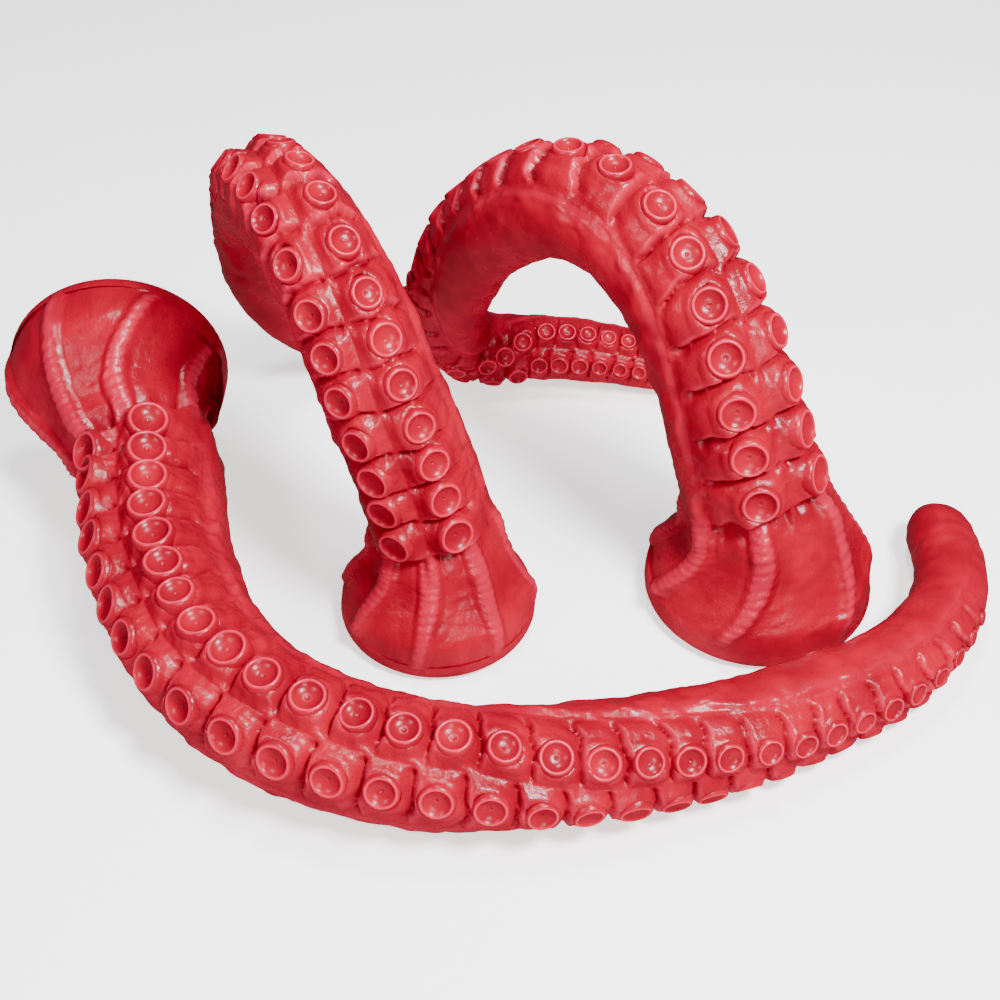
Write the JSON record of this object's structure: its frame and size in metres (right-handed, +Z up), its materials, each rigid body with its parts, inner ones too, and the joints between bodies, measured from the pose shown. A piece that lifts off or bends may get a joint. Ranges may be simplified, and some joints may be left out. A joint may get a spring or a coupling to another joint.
{
  "type": "posable octopus arm set",
  "caption": "Posable octopus arms with flared round feet and paired rows of suckers, soft mouldings on ball-and-socket links; one lies curved, the others stand and arch over.",
  "frame": {"origin": "on the floor, in the middle of the box round the set", "axes": "+X along the lying arm, from its foot to its tip, +Y away from the lying arm towards the tails, +Z up"},
  "size_m": [0.4836, 0.4202, 0.208],
  "materials": {
    "skin": "soft moulded skin, satin, slightly translucent",
    "links": "acetal, moulded",
    "plate": "moulded, matt",
    "post": "turned",
    "screws": "zinc plated"
  },
  "bodies": {
    "lying_foot": {"lying_foot_skin": "skin", "lying_links_0": "links", "lying_foot_plate": "plate", "lying_base_post": "post", "lying_foot_screws": "screws"},
    "lying_arm_1": {"lying_sleeve_1": "skin", "lying_links_1": "links"},
    "lying_arm_2": {"lying_sleeve_2": "skin", "lying_links_2": "links"},
    "lying_arm_3": {"lying_sleeve_3": "skin", "lying_links_3": "links"},
    "lying_tip": {"lying_tip": "skin", "lying_links_4": "links"},
    "arched_foot": {"arched_foot_skin": "skin", "arched_links_0": "links", "arched_foot_plate": "plate", "arched_base_post": "post", "arched_foot_screws": "screws"},
    "arched_arm_1": {"arched_sleeve_1": "skin", "arched_links_1": "links"},
    "arched_arm_2": {"arched_sleeve_2": "skin", "arched_links_2": "links"},
    "arched_arm_3": {"arched_sleeve_3": "skin", "arched_links_3": "links"},
    "arched_tip": {"arched_tip": "skin", "arched_links_4": "links"},
    "small_foot": {"small_foot_skin": "skin", "small_links_0": "links", "small_foot_plate": "plate", "small_base_post": "post", "small_foot_screws": "screws"},
    "small_arm_1": {"small_sleeve_1": "skin", "small_links_1": "links"},
    "small_arm_2": {"small_sleeve_2": "skin", "small_links_2": "links"},
    "small_arm_3": {"small_sleeve_3": "skin", "small_links_3": "links"},
    "small_tip": {"small_tip": "skin", "small_links_4": "links"}
  },
  "joints": [
    {"name": "lying_bend_1", "type": "hinge", "parent": "lying_foot", "child": "lying_arm_1", "pos_m": [-0.13982, -0.09276, 0.03425], "axis": [0, 0, -1], "range_deg": [0, 14]},
    {"name": "lying_bend_2", "type": "hinge", "parent": "lying_arm_1", "child": "lying_arm_2", "pos_m": [-0.04917, -0.17384, 0.03005], "axis": [0, 0, -1], "range_deg": [0, 15]},
    {"name": "lying_bend_3", "type": "hinge", "parent": "lying_arm_2", "child": "lying_arm_3", "pos_m": [0.06867, -0.17118, 0.02636], "axis": [0, 0, -1], "range_deg": [-2, 16]},
    {"name": "lying_bend_4", "type": "hinge", "parent": "lying_arm_3", "child": "lying_tip", "pos_m": [0.1776, -0.12374, 0.02067], "axis": [0, 0, -1], "range_deg": [-5, 16]},
    {"name": "arched_bend_1", "type": "hinge", "parent": "arched_foot", "child": "arched_arm_1", "pos_m": [0.10995, -0.03083, 0.11812], "axis": [0.8486, 0.5291, 0], "range_deg": [0, 10]},
    {"name": "arched_bend_2", "type": "hinge", "parent": "arched_arm_1", "child": "arched_arm_2", "pos_m": [0.04391, 0.02705, 0.17375], "axis": [0.8486, 0.5291, 0], "range_deg": [0, 10]},
    {"name": "arched_bend_3", "type": "hinge", "parent": "arched_arm_2", "child": "arched_arm_3", "pos_m": [-0.0121, 0.08616, 0.09365], "axis": [0, -1, 0], "range_deg": [0, 12]},
    {"name": "arched_bend_4", "type": "hinge", "parent": "arched_arm_3", "child": "arched_tip", "pos_m": [0.04504, 0.11645, 0.02062], "axis": [0, 0, 1], "range_deg": [-12, 12]},
    {"name": "small_bend_1", "type": "hinge", "parent": "small_foot", "child": "small_arm_1", "pos_m": [-0.04018, -0.05039, 0.11458], "axis": [0.9, 0.436, 0], "range_deg": [0, 10]},
    {"name": "small_bend_2", "type": "hinge", "parent": "small_arm_1", "child": "small_arm_2", "pos_m": [-0.08853, 0.01804, 0.18039], "axis": [0.9, 0.436, 0], "range_deg": [0, 12]},
    {"name": "small_bend_3", "type": "hinge", "parent": "small_arm_2", "child": "small_arm_3", "pos_m": [-0.11334, 0.09234, 0.09165], "axis": [0.7071, -0.7071, 0], "range_deg": [0, 12]},
    {"name": "small_bend_4", "type": "hinge", "parent": "small_arm_3", "child": "small_tip", "pos_m": [-0.06583, 0.13645, 0.02031], "axis": [0, 0, 1], "range_deg": [-3, 12]},
    {"name": "lying_place", "type": "slide", "parent": "arched_foot", "child": "lying_foot", "axis": [0, -1, 0], "range_m": [0, 0.12]},
    {"name": "small_lift", "type": "slide", "parent": "arched_foot", "child": "small_foot", "axis": [0, 0, 1], "range_m": [0, 0.1]}
  ]
}
